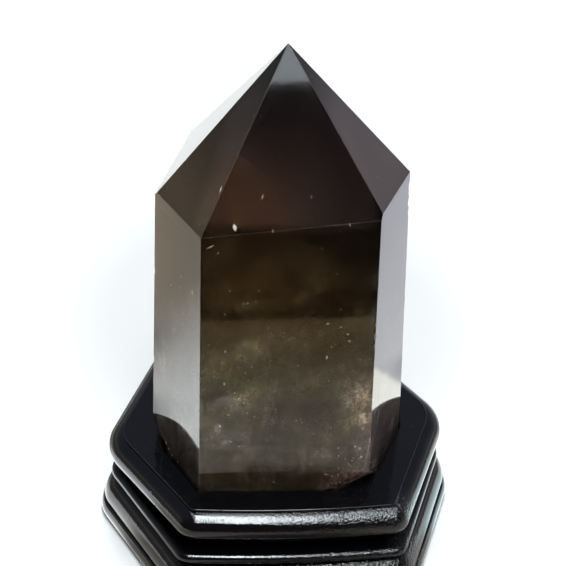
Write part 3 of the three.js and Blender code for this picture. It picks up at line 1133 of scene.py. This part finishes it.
def past_shade(x, y):
    """How far a place lies outside the stand's shade: the greatest of its distances from the six sides of
    the base, each less the reach of the shade there."""
    here = BASE_CORNERS[:, :2] * MM
    along = np.roll(here, -1, axis=0) - here
    along /= np.linalg.norm(along, axis=1, keepdims=True)
    away = None
    for (first, second), (east, north), reach in zip(along.tolist(), here.tolist(), SHADE_REACH):
        line = x * second - y * first - (second * east - first * north + reach * MM)
        away = line if away is None else away.larger(line)
    return away


sheet("floor", FLOOR_REACH, 0.0, paper_with_painted_shade())
# A glowing sheet just over the floor, seen only in polished faces: painted reflection of the floor, with
# painted shadow round the stand.
painted_floor_reflection = sheet("painted_floor_reflection", MIRRORED_REACH, MIRRORED_LIFT, lit_floor())
painted_floor_reflection.visible_camera = False
painted_floor_reflection.visible_diffuse = False
painted_floor_reflection.visible_transmission = False
painted_floor_reflection.visible_shadow = False


def lamp(name, low, high, height, radiance, colour):
    """A level rectangular lamp between two corners, shining down from a height in metres."""
    light = bpy.data.lights.new(name, "AREA")
    light.shape = "RECTANGLE"
    light.size = high[0] - low[0]
    light.size_y = high[1] - low[1]
    light.energy = radiance * np.pi * light.size * light.size_y
    light.color = colour
    holder = bpy.data.objects.new(name, light)
    holder.location = ((low[0] + high[0]) / 2, (low[1] + high[1]) / 2, height)
    bpy.context.scene.collection.objects.link(holder)


lamp("strip_lamp", (-0.11, -0.885), (0.14, 0.75), 1.2, 23.0, (0.91, 1.0, 1.02))
lamp("ceiling_panel", (-0.25, -0.985), (0.35, 0.75), 1.25, 4.3, (0.91, 0.99, 1.05))


# The room's two walls from the floor's level up: (height as the sine of its elevation, colour).
UPPER_WALL = ((0.57, (0.18, 0.2, 0.25)), (1.0, (0.1, 0.11, 0.14)))
LEFT_WALL = (
    (0.0, (0.28, 0.3, 0.34)),
    (0.29, (0.3, 0.3, 0.33)),
    (0.33, (0.95, 0.74, 0.52)),
    (0.342, (0.95, 0.74, 0.52)),
    (0.36, (0.66, 0.5, 0.37)),
    (0.385, (0.42, 0.37, 0.35)),
    (0.42, (0.34, 0.33, 0.35)),
    *UPPER_WALL,
)
RIGHT_WALL = (
    (0.0, (0.36, 0.38, 0.42)),
    (0.13, (0.45, 0.45, 0.5)),
    (0.17, (1.02, 0.86, 0.92)),
    (0.21, (0.9, 0.8, 0.88)),
    (0.235, (0.42, 0.42, 0.46)),
    *UPPER_WALL,
)
DARK_FRONT = (0.07, 0.055, 0.055)


def room():
    """A dim room round the set: a warm band of light part of the way up at the left, a pale one lower down
    at the right, dark in front and overhead."""
    world = bpy.data.worlds.new("room")
    bpy.context.scene.world = world
    world.use_nodes = True
    tree = Tree(world.node_tree)
    direction = tree.make("ShaderNodeTexCoord").out("Generated")
    parts = tree.make("ShaderNodeSeparateXYZ", None, {"Vector": direction})
    east, north, up = parts.out("X"), parts.out("Y"), parts.out("Z")
    left = tree.make("ShaderNodeValToRGB", {"stops": LEFT_WALL}, {"Fac": up}).out("Color")
    right = tree.make("ShaderNodeValToRGB", {"stops": RIGHT_WALL}, {"Fac": up}).out("Color")
    wall = tree.mix(east.above(0.0, 0.8), left, right)
    colour = tree.mix(north.above(-0.15, 0.5), DARK_FRONT, wall)
    shine = tree.make("ShaderNodeBackground", None, {"Color": colour, "Strength": 1.0}).out("Background")
    tree.make("ShaderNodeOutputWorld", None, {"Surface": shine})


room()

# Where the camera stands, in metres, and how far it is turned left, tipped down and rolled, in degrees.
CAMERA_PLACE = (-0.02088, -0.27338, 0.25647)
CAMERA_TURN = -4.5
CAMERA_PITCH = 35.083
CAMERA_ROLL = 1.666


def make_camera():
    """The camera, which looks down on the front from a little left of its middle."""
    lens = bpy.data.cameras.new("camera")
    lens.sensor_width = 36.0
    lens.lens = 95.41
    lens.clip_start = 0.01
    lens.clip_end = 20.0
    turned = Matrix.Rotation(np.radians(CAMERA_TURN), 4, "Z")
    tipped = Matrix.Rotation(np.pi / 2 - np.radians(CAMERA_PITCH), 4, "X")
    rolled = Matrix.Rotation(np.radians(CAMERA_ROLL), 4, "Z")
    camera = bpy.data.objects.new("camera", lens)
    camera.matrix_world = Matrix.Translation(CAMERA_PLACE) @ turned @ tipped @ rolled
    bpy.context.scene.collection.objects.link(camera)
    return camera


scene = bpy.context.scene
scene.camera = make_camera()
scene.view_settings.view_transform = "Standard"
scene.cycles.max_bounces = 24
scene.cycles.diffuse_bounces = 4
scene.cycles.transmission_bounces = 16
scene.cycles.glossy_bounces = 12
scene.cycles.transparent_max_bounces = 24
scene.cycles.sample_clamp_indirect = 12.0
